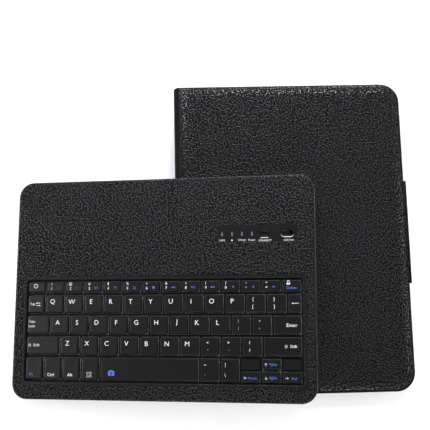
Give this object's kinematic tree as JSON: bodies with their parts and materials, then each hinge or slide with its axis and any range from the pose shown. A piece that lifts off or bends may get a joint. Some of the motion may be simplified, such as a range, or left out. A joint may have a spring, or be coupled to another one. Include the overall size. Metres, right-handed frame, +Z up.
{
  "type": "tablet keyboard case",
  "caption": "Folio case with a clasped, hinged cover and tilting tray for a tablet, and a lift-out wireless keyboard panel leaning on its spine.",
  "frame": {"origin": "centre of the closed folio's back face, on the table", "axes": "+Z up, out of the folio's back towards its front cover; +X from the spine towards the clasp; +Y along the spine, towards the end that is away from the keyboard panel's front edge"},
  "size_m": [0.3288, 0.2604, 0.0471],
  "materials": {
    "pebbled_leather": "satin",
    "smooth_leather": "satin",
    "cover_board": "matte",
    "lining": "matte",
    "tray_plastic": "satin",
    "shell_plastic": "satin",
    "key_plastic": "satin",
    "frame_plastic": "satin",
    "button_plastic": "gloss",
    "label_film": "satin",
    "lens": "gloss",
    "magnet_steel": "satin",
    "circuit_board": "satin",
    "battery_wrap": "satin",
    "connector_steel": "satin",
    "membrane_film": "satin",
    "dome_rubber": "matte"
  },
  "bodies": {
    "back_cover": {"back_cover_leather": "pebbled_leather", "back_cover_board": "cover_board", "back_cover_lining": "lining"},
    "spine": {"spine_leather": "pebbled_leather", "spine_board": "cover_board"},
    "front_cover": {"front_cover_leather": "pebbled_leather", "front_cover_board": "cover_board", "front_cover_lining": "lining", "dock_plates": "magnet_steel"},
    "clasp": {"clasp_strap": "smooth_leather", "clasp_magnets": "magnet_steel"},
    "tray": {"tablet_tray": "tray_plastic"},
    "prop": {"kickstand": "smooth_leather"},
    "keyboard": {"keyboard_bottom_shell": "shell_plastic", "keyboard_top_deck": "shell_plastic", "deck_leather": "pebbled_leather", "indicator_label": "label_film", "led_lenses": "lens", "main_board": "circuit_board", "battery": "battery_wrap", "usb_port": "connector_steel", "keyboard_magnets": "magnet_steel", "key_support_plate": "magnet_steel", "membrane": "membrane_film", "rubber_domes": "dome_rubber", "key_frame": "frame_plastic"},
    "connect_button": {"connect_button": "button_plastic"},
    "power_slider": {"power_slider": "button_plastic"},
    "space_bar": {"space_bar": "key_plastic"},
    "number_keys": {"number_keys": "key_plastic"},
    "punctuation_keys": {"punctuation_keys": "key_plastic"},
    "modifier_keys": {"modifier_keys": "key_plastic"},
    "editing_keys": {"editing_keys": "key_plastic"},
    "arrow_keys": {"arrow_keys": "key_plastic"},
    "key_q": {"key_q": "key_plastic"},
    "key_w": {"key_w": "key_plastic"},
    "key_e": {"key_e": "key_plastic"},
    "key_r": {"key_r": "key_plastic"},
    "key_t": {"key_t": "key_plastic"},
    "key_y": {"key_y": "key_plastic"},
    "key_u": {"key_u": "key_plastic"},
    "key_i": {"key_i": "key_plastic"},
    "key_o": {"key_o": "key_plastic"},
    "key_p": {"key_p": "key_plastic"},
    "key_a": {"key_a": "key_plastic"},
    "key_s": {"key_s": "key_plastic"},
    "key_d": {"key_d": "key_plastic"},
    "key_f": {"key_f": "key_plastic"},
    "key_g": {"key_g": "key_plastic"},
    "key_h": {"key_h": "key_plastic"},
    "key_j": {"key_j": "key_plastic"},
    "key_k": {"key_k": "key_plastic"},
    "key_l": {"key_l": "key_plastic"},
    "key_z": {"key_z": "key_plastic"},
    "key_x": {"key_x": "key_plastic"},
    "key_c": {"key_c": "key_plastic"},
    "key_v": {"key_v": "key_plastic"},
    "key_b": {"key_b": "key_plastic"},
    "key_n": {"key_n": "key_plastic"},
    "key_m": {"key_m": "key_plastic"}
  },
  "joints": [
    {"name": "front_cover_open", "type": "hinge", "parent": "spine", "child": "front_cover", "pos_m": [-0.095, 0, 0.0212], "axis": [0, -1, 0], "range_deg": [0, 91.81]},
    {"name": "spine_fold", "type": "hinge", "parent": "back_cover", "child": "spine", "pos_m": [-0.095, 0, 0], "axis": [0, -1, 0], "range_deg": [0, 90.01]},
    {"name": "clasp_open", "type": "hinge", "parent": "back_cover", "child": "clasp", "pos_m": [0.09515, 0.0015, 0.0026], "axis": [0, 1, 0], "range_deg": [0, 90.01]},
    {"name": "tray_tilt", "type": "hinge", "parent": "back_cover", "child": "tray", "pos_m": [-0.0914, 0, 0.0033], "axis": [0, -1, 0], "range_deg": [0, 60.01]},
    {"name": "prop_swing", "type": "hinge", "parent": "tray", "child": "prop", "pos_m": [-0.0034, 0, 0.0033], "axis": [0, 1, 0], "range_deg": [0, 120.01]},
    {"name": "keyboard_lift_off", "type": "slide", "parent": "back_cover", "child": "keyboard", "axis": [-0.7071, 0, 0.7071], "range_m": [0, 0.4001]},
    {"name": "connect_press", "type": "slide", "parent": "keyboard", "child": "connect_button", "axis": [0.1625, -0.0043, -0.9867], "range_m": [0, 0.0005], "stiffness_N_per_m": 500},
    {"name": "power_slide", "type": "slide", "parent": "keyboard", "child": "power_slider", "axis": [0.9864, -0.0258, 0.1626], "range_m": [0, 0.0028]},
    {"name": "key_q_press", "type": "slide", "parent": "keyboard", "child": "key_q", "axis": [0.1625, -0.0043, -0.9867], "range_m": [0, 0.0015], "stiffness_N_per_m": 300},
    {"name": "key_w_press", "type": "slide", "parent": "keyboard", "child": "key_w", "axis": [0.1625, -0.0043, -0.9867], "range_m": [0, 0.0015], "stiffness_N_per_m": 300},
    {"name": "key_e_press", "type": "slide", "parent": "keyboard", "child": "key_e", "axis": [0.1625, -0.0043, -0.9867], "range_m": [0, 0.0015], "stiffness_N_per_m": 300},
    {"name": "key_r_press", "type": "slide", "parent": "keyboard", "child": "key_r", "axis": [0.1625, -0.0043, -0.9867], "range_m": [0, 0.0015], "stiffness_N_per_m": 300},
    {"name": "key_t_press", "type": "slide", "parent": "keyboard", "child": "key_t", "axis": [0.1625, -0.0043, -0.9867], "range_m": [0, 0.0015], "stiffness_N_per_m": 300},
    {"name": "key_y_press", "type": "slide", "parent": "keyboard", "child": "key_y", "axis": [0.1625, -0.0043, -0.9867], "range_m": [0, 0.0015], "stiffness_N_per_m": 300},
    {"name": "key_u_press", "type": "slide", "parent": "keyboard", "child": "key_u", "axis": [0.1625, -0.0043, -0.9867], "range_m": [0, 0.0015], "stiffness_N_per_m": 300},
    {"name": "key_i_press", "type": "slide", "parent": "keyboard", "child": "key_i", "axis": [0.1625, -0.0043, -0.9867], "range_m": [0, 0.0015], "stiffness_N_per_m": 300},
    {"name": "key_o_press", "type": "slide", "parent": "keyboard", "child": "key_o", "axis": [0.1625, -0.0043, -0.9867], "range_m": [0, 0.0015], "stiffness_N_per_m": 300},
    {"name": "key_p_press", "type": "slide", "parent": "keyboard", "child": "key_p", "axis": [0.1625, -0.0043, -0.9867], "range_m": [0, 0.0015], "stiffness_N_per_m": 300},
    {"name": "key_a_press", "type": "slide", "parent": "keyboard", "child": "key_a", "axis": [0.1625, -0.0043, -0.9867], "range_m": [0, 0.0015], "stiffness_N_per_m": 300},
    {"name": "key_s_press", "type": "slide", "parent": "keyboard", "child": "key_s", "axis": [0.1625, -0.0043, -0.9867], "range_m": [0, 0.0015], "stiffness_N_per_m": 300},
    {"name": "key_d_press", "type": "slide", "parent": "keyboard", "child": "key_d", "axis": [0.1625, -0.0043, -0.9867], "range_m": [0, 0.0015], "stiffness_N_per_m": 300},
    {"name": "key_f_press", "type": "slide", "parent": "keyboard", "child": "key_f", "axis": [0.1625, -0.0043, -0.9867], "range_m": [0, 0.0015], "stiffness_N_per_m": 300},
    {"name": "key_g_press", "type": "slide", "parent": "keyboard", "child": "key_g", "axis": [0.1625, -0.0043, -0.9867], "range_m": [0, 0.0015], "stiffness_N_per_m": 300},
    {"name": "key_h_press", "type": "slide", "parent": "keyboard", "child": "key_h", "axis": [0.1625, -0.0043, -0.9867], "range_m": [0, 0.0015], "stiffness_N_per_m": 300},
    {"name": "key_j_press", "type": "slide", "parent": "keyboard", "child": "key_j", "axis": [0.1625, -0.0043, -0.9867], "range_m": [0, 0.0015], "stiffness_N_per_m": 300},
    {"name": "key_k_press", "type": "slide", "parent": "keyboard", "child": "key_k", "axis": [0.1625, -0.0043, -0.9867], "range_m": [0, 0.0015], "stiffness_N_per_m": 300},
    {"name": "key_l_press", "type": "slide", "parent": "keyboard", "child": "key_l", "axis": [0.1625, -0.0043, -0.9867], "range_m": [0, 0.0015], "stiffness_N_per_m": 300},
    {"name": "key_z_press", "type": "slide", "parent": "keyboard", "child": "key_z", "axis": [0.1625, -0.0043, -0.9867], "range_m": [0, 0.0015], "stiffness_N_per_m": 300},
    {"name": "key_x_press", "type": "slide", "parent": "keyboard", "child": "key_x", "axis": [0.1625, -0.0043, -0.9867], "range_m": [0, 0.0015], "stiffness_N_per_m": 300},
    {"name": "key_c_press", "type": "slide", "parent": "keyboard", "child": "key_c", "axis": [0.1625, -0.0043, -0.9867], "range_m": [0, 0.0015], "stiffness_N_per_m": 300},
    {"name": "key_v_press", "type": "slide", "parent": "keyboard", "child": "key_v", "axis": [0.1625, -0.0043, -0.9867], "range_m": [0, 0.0015], "stiffness_N_per_m": 300},
    {"name": "key_b_press", "type": "slide", "parent": "keyboard", "child": "key_b", "axis": [0.1625, -0.0043, -0.9867], "range_m": [0, 0.0015], "stiffness_N_per_m": 300},
    {"name": "key_n_press", "type": "slide", "parent": "keyboard", "child": "key_n", "axis": [0.1625, -0.0043, -0.9867], "range_m": [0, 0.0015], "stiffness_N_per_m": 300},
    {"name": "key_m_press", "type": "slide", "parent": "keyboard", "child": "key_m", "axis": [0.1625, -0.0043, -0.9867], "range_m": [0, 0.0015], "stiffness_N_per_m": 300},
    {"name": "space_bar_press", "type": "slide", "parent": "keyboard", "child": "space_bar", "axis": [0.1625, -0.0043, -0.9867], "range_m": [0, 0.0015], "stiffness_N_per_m": 300},
    {"name": "number_keys_press", "type": "slide", "parent": "keyboard", "child": "number_keys", "axis": [0.1625, -0.0043, -0.9867], "range_m": [0, 0.0015], "stiffness_N_per_m": 300},
    {"name": "punctuation_keys_press", "type": "slide", "parent": "keyboard", "child": "punctuation_keys", "axis": [0.1625, -0.0043, -0.9867], "range_m": [0, 0.0015], "stiffness_N_per_m": 300},
    {"name": "modifier_keys_press", "type": "slide", "parent": "keyboard", "child": "modifier_keys", "axis": [0.1625, -0.0043, -0.9867], "range_m": [0, 0.0015], "stiffness_N_per_m": 300},
    {"name": "editing_keys_press", "type": "slide", "parent": "keyboard", "child": "editing_keys", "axis": [0.1625, -0.0043, -0.9867], "range_m": [0, 0.0015], "stiffness_N_per_m": 300},
    {"name": "arrow_keys_press", "type": "slide", "parent": "keyboard", "child": "arrow_keys", "axis": [0.1625, -0.0043, -0.9867], "range_m": [0, 0.0015], "stiffness_N_per_m": 300}
  ],
  "couplings": [
    {"joint": "spine_fold", "follows": "front_cover_open", "ratio": 0.98029},
    {"joint": "clasp_open", "follows": "front_cover_open", "ratio": 0.98029},
    {"joint": "tray_tilt", "follows": "front_cover_open", "ratio": 0.65353},
    {"joint": "prop_swing", "follows": "front_cover_open", "ratio": 1.3071},
    {"joint": "keyboard_lift_off", "follows": "front_cover_open", "m_per_rad": 0.24963}
  ]
}
